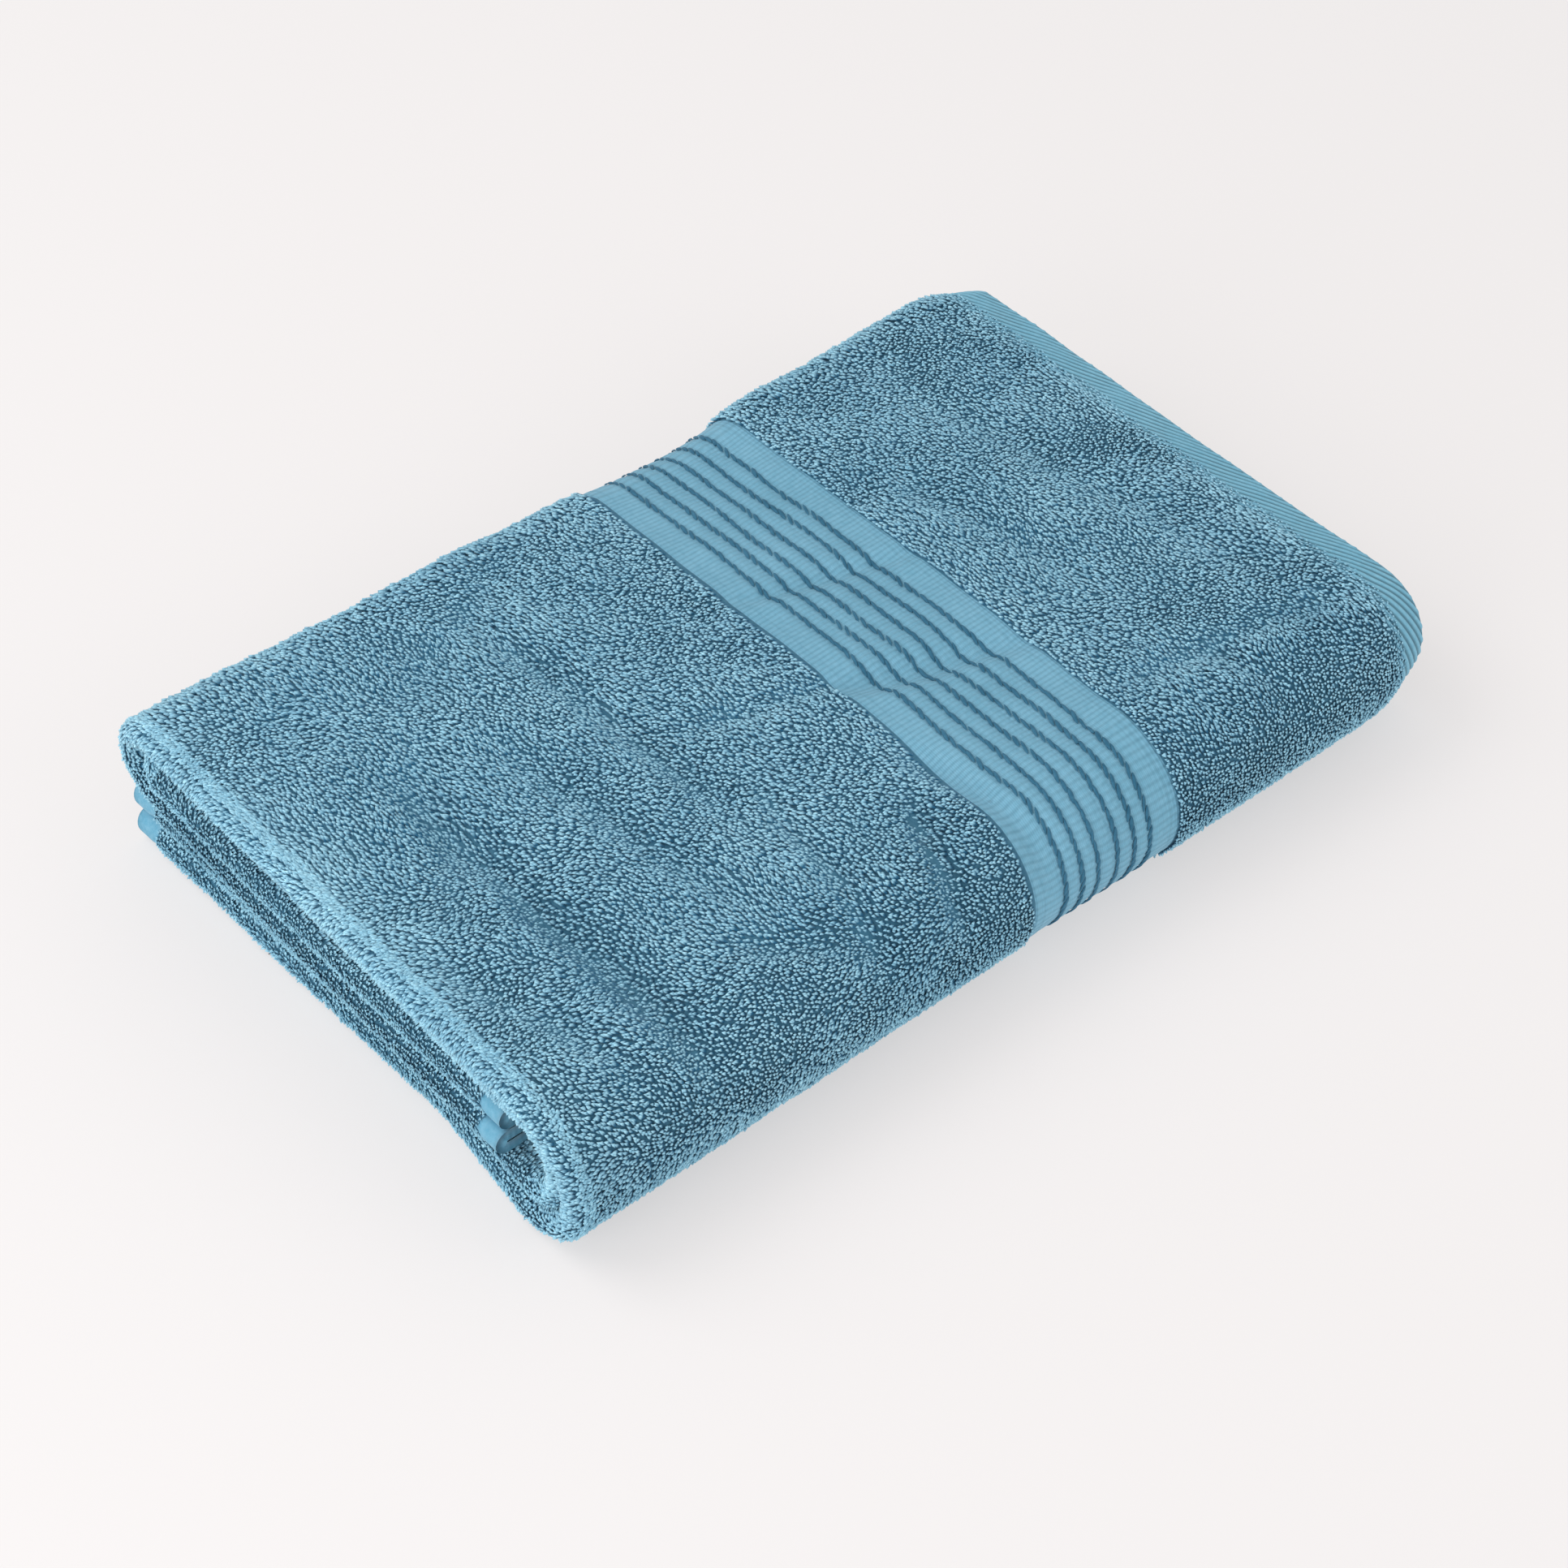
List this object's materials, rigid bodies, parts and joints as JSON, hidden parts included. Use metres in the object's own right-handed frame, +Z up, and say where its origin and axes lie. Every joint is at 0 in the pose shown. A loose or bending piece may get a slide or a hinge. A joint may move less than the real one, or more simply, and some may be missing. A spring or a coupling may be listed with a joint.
{
  "type": "folded bath towel",
  "caption": "Terry bath towel, pleated lengthwise and letter-folded across into a neat bundle, with a flat woven border of coloured lines and flat end hems.",
  "frame": {"origin": "on the surface that the towel lies on, below the middle of the bundle", "axes": "+X along the bundle from the pleat folds to the end hems, -Y to the round front fold, +Z up"},
  "size_m": [0.376, 0.246, 0.06],
  "materials": {
    "pile": "looped cotton terry, matte with soft sheen",
    "border": "flat woven cotton border, matte",
    "border_lines": "dark chain-like woven yarn, slight lustre",
    "hem": "flat twill-ribbed hem, matte"
  },
  "bodies": {
    "bottom_stack": {"front_fold_pile": "pile", "front_fold_outer_end_pile": "pile", "front_fold_inner_end_pile": "pile", "front_fold_outer_border": "border", "front_fold_inner_border": "border", "front_fold_outer_lines": "border_lines", "front_fold_inner_lines": "border_lines", "front_fold_outer_end_hem": "hem", "front_fold_inner_end_hem": "hem", "bottom_flap_pile": "pile", "bottom_flap_outer_end_pile": "pile", "bottom_flap_inner_end_pile": "pile", "bottom_flap_outer_border": "border", "bottom_flap_inner_border": "border", "bottom_flap_outer_lines": "border_lines", "bottom_flap_inner_lines": "border_lines", "bottom_flap_outer_end_hem": "hem", "bottom_flap_inner_end_hem": "hem", "bottom_flap_side_hem": "hem"},
    "upper_stack": {"top_panel_pile": "pile", "top_panel_outer_end_pile": "pile", "top_panel_inner_end_pile": "pile", "top_panel_outer_border": "border", "top_panel_inner_border": "border", "top_panel_outer_lines": "border_lines", "top_panel_inner_lines": "border_lines", "top_panel_outer_end_hem": "hem", "top_panel_inner_end_hem": "hem", "back_fold_pile": "pile", "back_fold_outer_end_pile": "pile", "back_fold_inner_end_pile": "pile", "back_fold_outer_border": "border", "back_fold_inner_border": "border", "back_fold_outer_lines": "border_lines", "back_fold_inner_lines": "border_lines", "back_fold_outer_end_hem": "hem", "back_fold_inner_end_hem": "hem", "middle_flap_pile": "pile", "middle_flap_outer_end_pile": "pile", "middle_flap_inner_end_pile": "pile", "middle_flap_outer_border": "border", "middle_flap_inner_border": "border", "middle_flap_outer_lines": "border_lines", "middle_flap_inner_lines": "border_lines", "middle_flap_outer_end_hem": "hem", "middle_flap_inner_end_hem": "hem", "middle_flap_side_hem": "hem"}
  },
  "joints": [
    {"name": "front_fold_open", "type": "hinge", "parent": "bottom_stack", "child": "upper_stack", "pos_m": [0, -0.093, 0.03], "axis": [1, 0, 0], "range_deg": [0, 180], "deforming": ["front_fold_pile", "front_fold_outer_end_pile", "front_fold_inner_end_pile", "front_fold_outer_border", "front_fold_inner_border", "front_fold_outer_lines", "front_fold_inner_lines", "front_fold_outer_end_hem", "front_fold_inner_end_hem"]}
  ]
}
